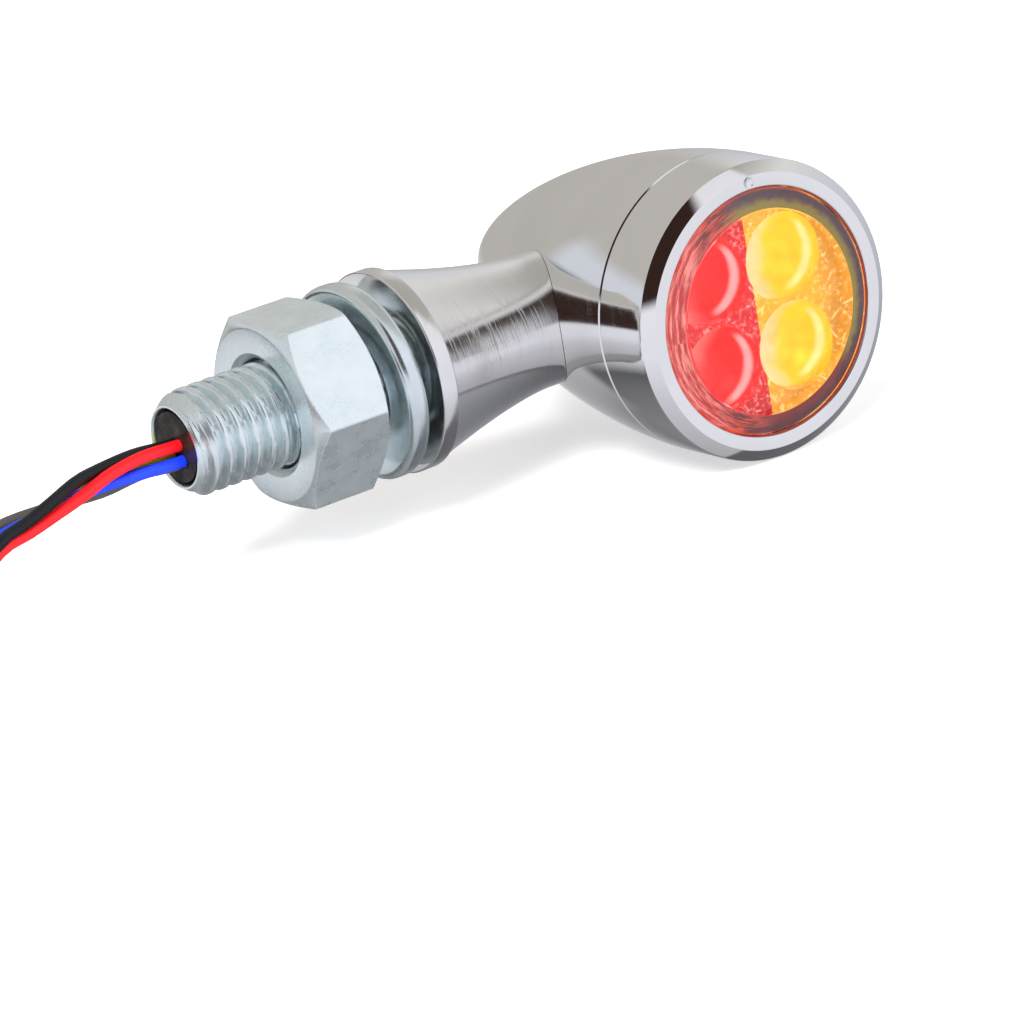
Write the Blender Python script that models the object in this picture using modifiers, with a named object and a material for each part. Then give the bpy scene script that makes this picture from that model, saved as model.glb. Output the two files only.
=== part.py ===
"""Motorcycle turn signal indicator, modelled at real size.

Frame (metres, +Z up): the origin is the centre of the flat seating face on the
stalk's flange. The hollow mounting stud points along -X, the stalk and the
bullet-shaped lamp lie on +X, the lamp's axis is parallel to Y and its lens
faces -Y.
"""
import math

import bmesh
import bpy
from mathutils import Euler, Vector

MM = 0.001

# Stud, washer and nut, along -X from the seating face
THREAD_RADIUS = 5.0 * MM            # M10
THREAD_PITCH = 1.5 * MM
THREAD_ROOT = 4.1 * MM
THREAD_START = 1.0 * MM
RIDGE_FOOT = 3.9 * MM               # the ridge starts inside the core
RIDGE_HALF_ROOT = 0.64 * MM
RIDGE_HALF_CREST = 0.17 * MM
RIDGE_PHASE = math.radians(7)
STUD_REACH = 23.0 * MM
STUD_CHAMFER = 1.4 * MM
STUD_GRIP = 8.0 * MM                # length held inside the stalk
STUD_GRIP_RADIUS = 4.9 * MM
STUD_BORE = 3.65 * MM
PLUG_DEPTH = 8.0 * MM
PLUG_RECESS = 0.15 * MM
WASHER_OUTER = 9.5 * MM
WASHER_INNER = 5.4 * MM
WASHER_THICKNESS = 2.2 * MM
WASHER_CORNER = 0.75 * MM
WASHER_NEAR = 1.45 * MM             # to the middle of the washer's near end
WASHER_RISE = 2.1 * MM              # helical offset between its two ends
WASHER_TURN = 345 / 360
WASHER_SPLIT = math.radians(110)
NUT_NEAR = 5.2 * MM
NUT_HEIGHT = 8.0 * MM
NUT_ACROSS_FLATS = 17.0 * MM
NUT_FACE_RADIUS = 8.25 * MM
NUT_CHAMFER = math.radians(30)
NUT_TURNED = math.radians(-1.5)
NUT_MOUTH = 5.9 * MM
NUT_MOUTH_DEPTH = 0.6 * MM

# Stalk, along +X from the seating face
FLANGE_RADIUS = 9.7 * MM
FLANGE_RIM = 1.7 * MM
FLANGE_EDGE = 0.2 * MM
FLARE_RADIUS = 9.45 * MM            # where the flare starts behind the rim
FLARE_END = 16.0 * MM
FLARE_POWER = 1.45
FLARE_STATIONS = (2.2, 3.2, 4.4, 5.8, 7.4, 9.2, 11.2, 13.4, 16.0)
NECK_RADIUS = 6.45 * MM
NECK_REACH = 24.0 * MM              # runs into the bullet, which cuts it to shape
WIRE_WAY = 3.2 * MM

# Lamp, along its own axis from the height of the stalk's axis
LAMP_X = 29.3 * MM                  # seating face to the lamp's axis
LAMP_RADIUS = 14.1 * MM
SEAM = 13.6 * MM                    # towards the lens
TAIL = 24.6 * MM                    # away from the lens
BULLET_POWERS = (1.73, 0.70)
BEZEL_FRONT = 20.7 * MM
BEZEL_LIP = 1.0 * MM
BEZEL_BORE = 12.85 * MM
BEZEL_FLAT = 12.85 * MM
BEZEL_SHOULDER = 13.9 * MM
BEZEL_DIMPLE = 0.5 * MM
DIMPLE_HEIGHT = 12.35 * MM
SPIGOT_OUTER = 12.55 * MM
SPIGOT_INNER = 11.2 * MM
SPIGOT_REACH = 2.7 * MM
WALL = 2.0 * MM
CAVITY_STATIONS = (-15, -10, -5, 0, 5, 9)
LENS_RADIUS = 11.5 * MM
LENS_FLAT = 9.6 * MM
LENS_RIM = 12.5 * MM
LENS_RIM_THICKNESS = 1.2 * MM
LENS_INNER = 10.6 * MM
LENS_BACK = 1.5 * MM                # behind the bezel's front
LENS_PROUD = 0.45 * MM
GASKET_SECTION = 0.55 * MM
GASKET_RADIUS = 12.05 * MM

# Light unit
BOWL_SPREAD = 4.25 * MM             # lamp axis to each bowl's axis, across and up
BOWL_MOUTH = 4.0 * MM
BOWL_FLOOR = 2.3 * MM
REFLECTOR_RADIUS = 10.2 * MM
REFLECTOR_FRONT = 17.9 * MM
DIVIDER_SIZE = (0.4 * MM, 17.6 * MM, 0.9 * MM)
BOARD_RADIUS = 10.8 * MM
BOARD_THICKNESS = 1.0 * MM
BOARD_FRONT = 12.0 * MM
LED_SIZE = (2.6 * MM, 2.6 * MM, 1.0 * MM)
LED_EDGE = 0.15 * MM

# Fits and roundness
GAP = 0.3 * MM                      # between pieces that touch
SEAM_GAP = 0.15 * MM                # visible joint lines
OVERCUT = 1.0 * MM                  # how far a cutter runs past what it cuts
TINY = 1e-5
BODY_STEPS = 48
SMALL_STEPS = 32
THREAD_STEPS = 18
WASHER_STEPS = 40
GASKET_STEPS = 40
BOWL_STEPS = 24
CHAMFER_STEPS = 60
TIP_STEPS = 12

# Wires and their coil
FLOOR_Z = -14.15 * MM
WIRE_RADIUS = 0.575 * MM
WIRE_SPACING = 2.3 * MM             # between the points of a drawn wire
STRAND_RING = 1.25 * MM             # bundle centre to each wire's centre
TWIST_PITCH = 40.0 * MM
TWIST_START = 26.0 * MM             # distance along the route where the even twist begins
TWIST_STEP = 3.3 * MM
COIL_CENTRE = Vector((-70.0 * MM, 19.5 * MM, 0.0))
COIL_OUTER = 21.5 * MM
COIL_INNER = 9.7 * MM
COIL_HEIGHT = 4.0 * MM
COIL_EDGE = 0.9 * MM
TIE_THICKNESS = 0.7 * MM
TIE_WIDTH = 2.4 * MM
TIE_ANGLE = math.radians(20)
TIP_LENGTH = 5.0 * MM
TIP_RADIUS = 0.35 * MM
TIP_FIRST = -7.5 * MM
TIP_SPACING = 1.45 * MM
WIRES = (                           # name, colour, angle about the bundle where the even twist begins
    ("red", (0.90, 0.02, 0.03, 1), 263),
    ("black", (0.012, 0.013, 0.015, 1), -25),
    ("yellow", (0.85, 0.75, 0.02, 1), 191),
    ("grey", (0.14, 0.14, 0.13, 1), 119),
    ("blue", (0.02, 0.06, 0.80, 1), 47),
)
# The bundle's centreline from the stud's end down to the coil, in millimetres
ROUTE = (
    (-23.2, 0.0, 0.0), (-26.0, 0.0, 0.0), (-28.5, 0.0, -0.10), (-31.0, 0.0, -0.35),
    (-33.5, 0.0, -0.85), (-36.0, 0.0, -1.45), (-38.5, 0.0, -2.05), (-41.0, 0.0, -2.70),
    (-43.5, 0.0, -3.55), (-46.0, 0.0, -4.70), (-48.5, 0.0, -6.15), (-51.0, 0.0, -7.70),
    (-53.5, 0.0, -9.10), (-56.0, 0.0, -10.20), (-58.5, 0.0, -10.90), (-61.0, 0.0, -11.25),
    (-64.0, 0.0, -11.35), (-67.0, 0.0, -11.35),
)
# How the wires lie over each other before that: for each distance along the route, every
# wire's offset from the centreline (towards -Y, up), all in millimetres
LAY_AT = (0.0, 3.6, 7.4, 10.4, 13.6, 16.8, 19.2, 22.6)
LAY = {
    "red": (
        (0.75, 0.25), (0.95, 0.45), (1.25, 0.40), (1.50, 0.15),
        (1.35, -0.05), (1.15, -0.25), (0.85, -0.15), (0.50, -0.85),
    ),
    "black": (
        (-0.45, 0.20), (-0.25, 0.60), (0.10, 0.75), (0.85, 1.15),
        (1.55, 1.20), (1.60, 0.90), (1.50, 0.90), (1.40, 0.05),
    ),
    "yellow": (
        (-1.00, -0.90), (-1.20, -0.75), (-0.85, -0.40), (-0.80, -0.50),
        (-0.85, -0.70), (-0.80, -0.60), (-0.80, -0.50), (-1.00, -0.40),
    ),
    "grey": (
        (0.00, -1.60), (-0.10, -1.30), (-0.75, -1.60), (-1.70, -1.25),
        (-2.00, -0.45), (-1.95, 0.35), (-1.75, 0.80), (-1.15, 1.10),
    ),
    "blue": (
        (1.05, -1.00), (1.00, -0.80), (0.55, -0.60), (0.40, -0.25),
        (0.15, -0.05), (0.00, 0.30), (-0.15, 0.50), (0.15, 0.85),
    ),
}

TO_STUD = (0.0, -math.pi / 2, 0.0)  # turns local +Z to -X
TO_LENS = (math.pi / 2, 0.0, 0.0)   # turns local +Z to -Y


# ---------------------------------------------------------------- set-up
def clear_scene():
    for obj in list(bpy.data.objects):
        bpy.data.objects.remove(obj, do_unlink=True)


def make_collection(name):
    collection = bpy.data.collections.new(name)
    bpy.context.scene.collection.children.link(collection)
    return collection


def make_material(name, colour, roughness, metallic=0.0, transmission=0.0):
    material = bpy.data.materials.new(name)
    material.use_nodes = True
    shader = material.node_tree.nodes["Principled BSDF"]
    shader.inputs["Base Color"].default_value = colour
    shader.inputs["Roughness"].default_value = roughness
    shader.inputs["Metallic"].default_value = metallic
    shader.inputs["Transmission Weight"].default_value = transmission
    material.diffuse_color = colour
    return material


# ---------------------------------------------------------------- objects
def add_object(name, data, material=None, location=(0, 0, 0), rotation=(0, 0, 0), parent=None):
    """Put data in the scene; a piece without a material is a cutter."""
    obj = bpy.data.objects.new(name, data)
    obj.location = location
    obj.rotation_euler = rotation
    obj.parent = parent
    if material:
        obj.data.materials.append(material)
        PARTS.objects.link(obj)
    else:
        obj.hide_render = True
        obj.display_type = "WIRE"
        CUTTERS.objects.link(obj)
    return obj


def mesh_from(bm, name):
    bmesh.ops.recalc_face_normals(bm, faces=bm.faces)
    mesh = bpy.data.meshes.new(name)
    bm.to_mesh(mesh)
    bm.free()
    return mesh


def round_shading(obj, angle=30):
    obj.data.shade_smooth()
    obj.data.set_sharp_from_angle(angle=math.radians(angle))


def turned(name, profile, material=None, steps=BODY_STEPS, closed=False, **place):
    """A turned piece from (radius, height) points that run down its outer side."""
    mesh = bpy.data.meshes.new(name)
    edges = [(i, i + 1) for i in range(len(profile) - 1)]
    if closed:
        edges.append((len(profile) - 1, 0))
    mesh.from_pydata([(r, 0.0, z) for r, z in profile], edges, [])
    obj = add_object(name, mesh, material, **place)
    screw = obj.modifiers.new("Turn", "SCREW")
    screw.steps = steps
    screw.render_steps = steps
    screw.use_merge_vertices = True
    screw.merge_threshold = TINY
    screw.use_smooth_shade = True
    return obj


def cylinder(name, radius, depth, material=None, steps=SMALL_STEPS, **place):
    """A cylinder along local Z, centred on its origin."""
    bm = bmesh.new()
    bmesh.ops.create_cone(
        bm, cap_ends=True, segments=steps, radius1=radius, radius2=radius, depth=depth
    )
    obj = add_object(name, mesh_from(bm, name), material, **place)
    round_shading(obj)
    return obj


def box(name, size, material=None, bevel=0.0, **place):
    bm = bmesh.new()
    bmesh.ops.create_cube(bm, size=1.0)
    bmesh.ops.scale(bm, vec=size, verts=bm.verts)
    obj = add_object(name, mesh_from(bm, name), material, **place)
    if bevel:
        modifier = obj.modifiers.new("Edges", "BEVEL")
        modifier.width = bevel
        modifier.segments = 2
    return obj


def helix_sweep(section, pitch, turns, steps_per_turn, start):
    """A closed section (radius, height) carried up a right-hand helix about Z."""
    bm = bmesh.new()
    face = bm.faces.new([bm.verts.new((r, 0.0, z)) for r, z in section])
    bmesh.ops.spin(
        bm,
        geom=[*face.verts, *face.edges, face],
        axis=(0, 0, 1),
        cent=(0, 0, 0),
        dvec=(0, 0, pitch / steps_per_turn),
        angle=math.tau * turns,
        steps=round(turns * steps_per_turn),
    )
    bmesh.ops.rotate(bm, verts=bm.verts, cent=(0, 0, 0), matrix=Euler((0, 0, start)).to_matrix())
    return bm


def combine(obj, other, operation="DIFFERENCE"):
    modifier = obj.modifiers.new(other.name, "BOOLEAN")
    modifier.operation = operation
    modifier.solver = "EXACT"
    modifier.object = other


def tube(name, points, radius, material):
    curve = bpy.data.curves.new(name, "CURVE")
    curve.dimensions = "3D"
    curve.bevel_depth = radius
    curve.bevel_resolution = 2
    curve.use_fill_caps = True
    spline = curve.splines.new("POLY")
    spline.points.add(len(points) - 1)
    for point, target in zip(spline.points, points):
        point.co = (*target, 1.0)
    return add_object(name, curve, material)


# ---------------------------------------------------------------- shapes by rule
def lamp_radius(y, offset=0.0):
    """Radius of the bullet at y, its outside moved out by offset."""
    u = min(max((y + SEAM) / (TAIL + SEAM), 0.0), 1.0)
    inner, outer = BULLET_POWERS
    return LAMP_RADIUS * (1.0 - u ** inner) ** outer + offset


def bullet_profile(offset=0.0, stations=18):
    """(radius, height) down the outside of the bullet; height is -y."""
    points = []
    for i in range(stations):
        y = -SEAM + (TAIL + SEAM) * math.sin(math.pi / 2 * i / stations)
        points.append((lamp_radius(y, offset), -y))
    return [*points, (0.0, -TAIL - offset)]


def stalk_radius(x):
    """Radius of the stalk behind its rim, flaring from the neck to the flange."""
    t = (x - FLANGE_RIM) / (FLARE_END - FLANGE_RIM)
    return NECK_RADIUS + (FLARE_RADIUS - NECK_RADIUS) * (1.0 - t) ** FLARE_POWER


def smooth_route(points, spacing):
    """Evenly spaced points on a Catmull-Rom curve through the route."""
    ends = [points[0] * 2 - points[1], *points, points[-1] * 2 - points[-2]]
    dense = []
    for a, b, c, d in zip(ends, ends[1:], ends[2:], ends[3:]):
        for i in range(12):
            t = i / 12
            dense.append(0.5 * (
                2 * b + (c - a) * t + (2 * a - 5 * b + 4 * c - d) * t ** 2
                + (3 * b - a - 3 * c + d) * t ** 3
            ))
    dense.append(points[-1])
    result = [dense[0]]
    walked = 0.0
    for here, there in zip(dense, dense[1:]):
        walked += (there - here).length
        if walked >= spacing:
            result.append(there)
            walked = 0.0
    return result


def route_frames():
    """The bundle's centreline as (distance, point, side, lift); side leans to -Y, lift up."""
    centreline = smooth_route([Vector(point) * MM for point in ROUTE], 0.5 * MM)
    frames = []
    walked = 0.0
    for i, here in enumerate(centreline):
        before = centreline[max(i - 1, 0)]
        after = centreline[min(i + 1, len(centreline) - 1)]
        walked += (here - before).length
        along = (after - before).normalized()
        side = Vector((0, 0, 1)).cross(along).normalized()
        frames.append((walked, here, side, along.cross(side)))
    return frames


def strand(frames, name, phase):
    """One wire: laid by the table near the stud, then twisting at an even pitch."""
    offsets = [(at * MM, side * MM, lift * MM) for at, (side, lift) in zip(LAY_AT, LAY[name])]
    at = TWIST_START
    while at < frames[-1][0]:
        angle = math.radians(phase) - math.tau * (at - TWIST_START) / TWIST_PITCH
        offsets.append((at, STRAND_RING * math.cos(angle), STRAND_RING * math.sin(angle)))
        at += TWIST_STEP
    points = []
    for at, across, up in offsets:
        _, here, side, lift = min(frames, key=lambda frame: abs(frame[0] - at))
        points.append(here + side * across + lift * up)
    return smooth_route(points, WIRE_SPACING)


def coil_distance(point):
    return math.hypot(point.x - COIL_CENTRE.x, point.y - COIL_CENTRE.y)


# ---------------------------------------------------------------- lamp
def make_housing(parent):
    front = SEAM + SPIGOT_REACH
    cavity = [(0.0, -18.0 * MM), (3.2 * MM, -17.4 * MM)]
    for z in CAVITY_STATIONS:
        cavity.append((lamp_radius(-z * MM) - WALL, z * MM))
    profile = [
        *cavity,
        (SPIGOT_INNER, 11.5 * MM),
        (SPIGOT_INNER, front),
        (SPIGOT_OUTER, front),
        (SPIGOT_OUTER, SEAM),
        *bullet_profile(),
    ]
    housing = turned(
        "housing", profile, CHROME, location=(LAMP_X, 0, 0), rotation=TO_LENS, parent=parent
    )
    wire_way = cylinder(
        "housing_wire_way", WIRE_WAY, LAMP_RADIUS,
        location=(LAMP_X - 10 * MM, 0, 0), rotation=TO_STUD
    )
    combine(housing, wire_way)


def make_bezel(parent):
    rear = SEAM + SEAM_GAP
    lip = BEZEL_FRONT - BEZEL_LIP
    opening = LENS_RADIUS + 0.2 * MM
    edge = 0.15 * MM
    profile = [
        (BEZEL_BORE, rear),
        (BEZEL_BORE, lip),
        (opening, lip),
        (opening, BEZEL_FRONT - edge),
        (opening + edge, BEZEL_FRONT),
        (BEZEL_FLAT, BEZEL_FRONT),
        (BEZEL_SHOULDER, BEZEL_FRONT - 0.75 * MM),
        (BEZEL_SHOULDER + 0.1 * MM, lip),
        (LAMP_RADIUS, rear + 1.0 * MM),
        (LAMP_RADIUS, rear),
    ]
    bezel = turned(
        "bezel_ring", profile, CHROME, closed=True,
        location=(LAMP_X, 0, 0), rotation=TO_LENS, parent=parent
    )
    dimple = cylinder(
        "bezel_dimple", BEZEL_DIMPLE, 0.4 * MM, steps=16,
        location=(LAMP_X, -BEZEL_FRONT, DIMPLE_HEIGHT), rotation=TO_LENS
    )
    combine(bezel, dimple)


def make_lens(parent):
    shoulder = BEZEL_FRONT - BEZEL_LIP - GAP
    seat = shoulder - LENS_RIM_THICKNESS
    back = BEZEL_FRONT - LENS_BACK
    face = BEZEL_FRONT + LENS_PROUD
    profile = [
        (0.0, face),
        (LENS_FLAT, face - 0.1 * MM),
        (LENS_RADIUS, BEZEL_FRONT - 0.35 * MM),
        (LENS_RADIUS, shoulder),
        (LENS_RIM, shoulder),
        (LENS_RIM, seat),
        (LENS_INNER, seat),
        (LENS_INNER, back - 0.7 * MM),
        (LENS_INNER - 1.3 * MM, back),
        (0.0, back),
    ]
    turned("lens", profile, SMOKED, location=(LAMP_X, 0, 0), rotation=TO_LENS, parent=parent)


def make_gasket(parent):
    height = BEZEL_FRONT - BEZEL_LIP - LENS_RIM_THICKNESS - 2 * GAP - GASKET_SECTION
    profile = []
    for i in range(8):
        angle = math.tau * i / 8
        profile.append((
            GASKET_RADIUS - GASKET_SECTION * math.cos(angle),
            height + GASKET_SECTION * math.sin(angle),
        ))
    turned(
        "lens_gasket", profile, RUBBER, closed=True, steps=GASKET_STEPS,
        location=(LAMP_X, 0, 0), rotation=TO_LENS, parent=parent
    )


def bowl_places():
    for colour, across in (("red", -1), ("amber", 1)):
        for level, up in (("upper", 1), ("lower", -1)):
            yield colour, level, LAMP_X + across * BOWL_SPREAD, up * BOWL_SPREAD


def make_reflector(parent):
    base = BOARD_FRONT + LED_SIZE[2] + GAP
    profile = [
        (0.0, REFLECTOR_FRONT),
        (REFLECTOR_RADIUS, REFLECTOR_FRONT),
        (REFLECTOR_RADIUS, base),
        (0.0, base),
    ]
    reflector = turned(
        "reflector", profile, MIRROR, location=(LAMP_X, 0, 0), rotation=TO_LENS, parent=parent
    )
    bowl = [(0.0, REFLECTOR_FRONT + OVERCUT), (BOWL_MOUTH, REFLECTOR_FRONT + OVERCUT)]
    for i in range(7):
        down = i / 6
        radius = BOWL_MOUTH - (BOWL_MOUTH - BOWL_FLOOR) * down ** 2
        bowl.append((radius, REFLECTOR_FRONT - (REFLECTOR_FRONT - base) * down))
    bowl.append((BOWL_FLOOR, base - OVERCUT))
    bowl.append((0.0, base - OVERCUT))
    for colour, level, x, z in bowl_places():
        cutter = turned(
            f"bowl_{colour}_{level}", bowl, steps=BOWL_STEPS,
            location=(x, 0, z), rotation=TO_LENS
        )
        combine(reflector, cutter)


def make_divider(parent):
    box(
        "light_divider", DIVIDER_SIZE, SATIN_BLACK,
        location=(LAMP_X, -(REFLECTOR_FRONT + GAP + DIVIDER_SIZE[2] / 2), 0),
        rotation=TO_LENS, parent=parent
    )


def make_board(parent):
    cylinder(
        "circuit_board", BOARD_RADIUS, BOARD_THICKNESS, BOARD, steps=BODY_STEPS,
        location=(LAMP_X, -(BOARD_FRONT - BOARD_THICKNESS / 2), 0),
        rotation=TO_LENS, parent=parent
    )


def make_leds(parent):
    for colour, level, x, z in bowl_places():
        material = RED_LED if colour == "red" else AMBER_LED
        box(
            f"led_{colour}_{level}", LED_SIZE, material, bevel=LED_EDGE,
            location=(x, -(BOARD_FRONT + GAP + LED_SIZE[2] / 2), z),
            rotation=TO_LENS, parent=parent
        )


# ---------------------------------------------------------------- stalk and fixing
def make_stalk(parent):
    bore = THREAD_RADIUS + GAP
    depth = STUD_GRIP + GAP
    profile = [
        (WIRE_WAY, -NECK_REACH),
        (WIRE_WAY, -depth),
        (bore, -depth),
        (bore, 0.0),
        (FLANGE_RADIUS - FLANGE_EDGE, 0.0),
        (FLANGE_RADIUS, -FLANGE_EDGE),
        (FLANGE_RADIUS, -FLANGE_RIM + FLANGE_EDGE),
        (FLANGE_RADIUS - FLANGE_EDGE, -FLANGE_RIM),
        *[(stalk_radius(x * MM), -x * MM) for x in FLARE_STATIONS],
        (NECK_RADIUS, -NECK_REACH),
    ]
    stalk = turned("stalk", profile, CHROME, closed=True, rotation=TO_STUD, parent=parent)
    room = turned(
        "room_for_lamp",
        [(0.0, SEAM), *bullet_profile(SEAM_GAP)],
        location=(LAMP_X, 0, 0), rotation=TO_LENS
    )
    combine(stalk, room)


def make_stud(parent):
    end = STUD_REACH
    core = [
        (STUD_BORE, -STUD_GRIP),
        (STUD_BORE, end - 0.2 * MM),
        (STUD_BORE + 0.15 * MM, end),
        (THREAD_ROOT - 0.05 * MM, end),
        (THREAD_ROOT, end - 0.1 * MM),
        (THREAD_ROOT, 0.0),
        (STUD_GRIP_RADIUS, -0.6 * MM),
        (STUD_GRIP_RADIUS, -STUD_GRIP),
    ]
    stud = turned(
        "threaded_stud", core, ZINC, closed=True, steps=SMALL_STEPS,
        rotation=TO_STUD, parent=parent
    )
    section = [
        (RIDGE_FOOT, THREAD_START - RIDGE_HALF_ROOT),
        (THREAD_RADIUS, THREAD_START - RIDGE_HALF_CREST),
        (THREAD_RADIUS, THREAD_START + RIDGE_HALF_CREST),
        (RIDGE_FOOT, THREAD_START + RIDGE_HALF_ROOT),
    ]
    turns = (end - THREAD_START) / THREAD_PITCH + 0.5
    ridge = add_object(
        "thread_ridge",
        mesh_from(helix_sweep(section, THREAD_PITCH, turns, THREAD_STEPS, RIDGE_PHASE), "ridge"),
        rotation=TO_STUD
    )
    chamfer = end - STUD_CHAMFER
    clear = THREAD_RADIUS + 0.4 * MM
    envelope = turned(
        "thread_envelope",
        [
            (0.0, end - 0.05 * MM),
            (RIDGE_FOOT - 0.05 * MM, end - 0.05 * MM),
            (THREAD_RADIUS + 0.1 * MM, chamfer),
            (clear, chamfer - 0.4 * MM),
            (clear, -OVERCUT),
            (0.0, -OVERCUT),
        ],
        steps=SMALL_STEPS, rotation=TO_STUD
    )
    combine(ridge, envelope, "INTERSECT")
    combine(stud, ridge, "UNION")


def make_plug(parent):
    middle = STUD_REACH - PLUG_RECESS - PLUG_DEPTH / 2
    cylinder(
        "potting_plug", STUD_BORE - GAP, PLUG_DEPTH, POTTING,
        location=(-middle, 0, 0), rotation=TO_STUD, parent=parent
    )


def rounded_section(inner, outer, thickness, corner, corner_steps=2):
    """Points of a rounded rectangle across a ring, anticlockwise in (radius, height)."""
    points = []
    half = thickness / 2
    centres = (
        (outer - corner, half - corner, 0), (inner + corner, half - corner, 90),
        (inner + corner, corner - half, 180), (outer - corner, corner - half, 270),
    )
    for r, z, start in centres:
        for i in range(corner_steps + 1):
            angle = math.radians(start + 90 * i / corner_steps)
            points.append((r + corner * math.cos(angle), z + corner * math.sin(angle)))
    return points


def make_washer(parent):
    section = rounded_section(WASHER_INNER, WASHER_OUTER, WASHER_THICKNESS, WASHER_CORNER)
    pitch = WASHER_RISE / WASHER_TURN
    bm = helix_sweep(section, pitch, WASHER_TURN, WASHER_STEPS, WASHER_SPLIT)
    washer = add_object(
        "spring_washer", mesh_from(bm, "spring_washer"), ZINC,
        location=(-WASHER_NEAR, 0, 0), rotation=TO_STUD, parent=parent
    )
    round_shading(washer, 40)


def make_nut(parent):
    corner = NUT_ACROSS_FLATS / math.sqrt(3)
    half = NUT_HEIGHT / 2
    bm = bmesh.new()
    bmesh.ops.create_cone(
        bm, cap_ends=True, segments=6, radius1=corner, radius2=corner, depth=NUT_HEIGHT
    )
    bmesh.ops.rotate(
        bm, verts=bm.verts, cent=(0, 0, 0), matrix=Euler((0, 0, NUT_TURNED)).to_matrix()
    )
    place = {"location": (-(NUT_NEAR + half), 0, 0), "rotation": TO_STUD}
    nut = add_object("hex_nut", mesh_from(bm, "hex_nut"), ZINC, parent=parent, **place)
    rim = corner + 0.5 * MM
    drop = (rim - NUT_FACE_RADIUS) * math.tan(NUT_CHAMFER)
    chamfers = turned(
        "nut_chamfers",
        [
            (0.0, half), (NUT_FACE_RADIUS, half), (rim, half - drop),
            (rim, drop - half), (NUT_FACE_RADIUS, -half), (0.0, -half),
        ],
        steps=CHAMFER_STEPS, **place
    )
    bore = THREAD_RADIUS + GAP
    inside = half - NUT_MOUTH_DEPTH
    beyond = half + OVERCUT
    tapped = turned(
        "nut_bore",
        [
            (0.0, beyond), (NUT_MOUTH, beyond), (NUT_MOUTH, half), (bore, inside),
            (bore, -inside), (NUT_MOUTH, -half), (NUT_MOUTH, -beyond), (0.0, -beyond),
        ],
        **place
    )
    combine(nut, chamfers, "INTERSECT")
    combine(nut, tapped)


# ---------------------------------------------------------------- wires
def make_wires():
    frames = route_frames()
    for name, _, phase in WIRES:
        points = [
            point for point in strand(frames, name, phase)
            if coil_distance(point) > COIL_OUTER + GAP + WIRE_RADIUS
        ]
        tube(f"wire_{name}", points, WIRE_RADIUS, INSULATION[name])


def make_coil():
    bottom = FLOOR_Z + TIE_THICKNESS + GAP
    top = bottom + COIL_HEIGHT
    profile = [
        (COIL_INNER, bottom + COIL_EDGE), (COIL_INNER, top - COIL_EDGE),
        (COIL_INNER + COIL_EDGE, top), (COIL_OUTER - COIL_EDGE, top),
        (COIL_OUTER, top - COIL_EDGE), (COIL_OUTER, bottom + COIL_EDGE),
        (COIL_OUTER - COIL_EDGE, bottom), (COIL_INNER + COIL_EDGE, bottom),
    ]
    turned("wire_coil", profile, INSULATION["black"], closed=True, location=COIL_CENTRE)


def make_tie():
    clear = GAP + TIE_THICKNESS
    length = COIL_OUTER - COIL_INNER + 2 * clear
    height = COIL_HEIGHT + 2 * clear
    middle = (COIL_OUTER + COIL_INNER) / 2
    place = {
        "location": (
            COIL_CENTRE.x + middle * math.cos(TIE_ANGLE),
            COIL_CENTRE.y + middle * math.sin(TIE_ANGLE),
            FLOOR_Z + height / 2,
        ),
        "rotation": (0, 0, TIE_ANGLE),
    }
    tie = box("coil_tie", (length, TIE_WIDTH, height), SATIN_BLACK, **place)
    inside = box(
        "tie_inside",
        (length - 2 * TIE_THICKNESS, 2 * TIE_WIDTH, height - 2 * TIE_THICKNESS), **place
    )
    combine(tie, inside)


def make_tips():
    """The stripped, tinned ends, side by side inside the coil, heading +Y."""
    reach = COIL_INNER - GAP - 0.2 * MM
    for i, (name, _, _) in enumerate(WIRES):
        across = TIP_FIRST + TIP_SPACING * i
        start = -math.sqrt(reach ** 2 - across ** 2)
        cylinder(
            f"wire_tip_{name}", TIP_RADIUS, TIP_LENGTH, TINNED, steps=TIP_STEPS,
            location=(
                COIL_CENTRE.x + across,
                COIL_CENTRE.y + start + TIP_LENGTH / 2,
                FLOOR_Z + TIE_THICKNESS + GAP + WIRE_RADIUS,
            ),
            rotation=TO_LENS
        )


def add_empty(name, location, parent=None):
    empty = bpy.data.objects.new(name, None)
    empty.empty_display_size = 0.01
    empty.location = location
    empty.parent = parent
    PARTS.objects.link(empty)
    return empty


clear_scene()
PARTS = make_collection("turn_signal_indicator")
CUTTERS = make_collection("cutters")

CHROME = make_material("chrome", (0.78, 0.78, 0.79, 1), 0.06, metallic=1.0)
ZINC = make_material("zinc_plate", (0.66, 0.72, 0.76, 1), 0.28, metallic=1.0)
MIRROR = make_material("mirrored_plastic", (0.80, 0.80, 0.80, 1), 0.12, metallic=1.0)
TINNED = make_material("tinned_copper", (0.75, 0.74, 0.72, 1), 0.30, metallic=1.0)
SMOKED = make_material("smoked_lens", (0.13, 0.12, 0.125, 1), 0.08, transmission=0.8)
RED_LED = make_material("red_led", (1.0, 0.08, 0.05, 1), 0.25)
AMBER_LED = make_material("amber_led", (1.0, 0.60, 0.05, 1), 0.25)
BOARD = make_material("circuit_board", (0.02, 0.16, 0.07, 1), 0.45)
RUBBER = make_material("rubber", (0.02, 0.02, 0.02, 1), 0.7)
POTTING = make_material("potting", (0.015, 0.013, 0.012, 1), 0.5)
SATIN_BLACK = make_material("satin_black", (0.02, 0.02, 0.02, 1), 0.4)
INSULATION = {
    name: make_material(f"{name}_insulation", colour, 0.35) for name, colour, _ in WIRES
}

lamp = add_empty("lamp_frame", (0, 0, 0))
washer_slide = add_empty("washer_slide", (0, 0, 0), lamp)
nut_turn = add_empty("nut_turn", (0, 0, 0), washer_slide)

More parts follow.
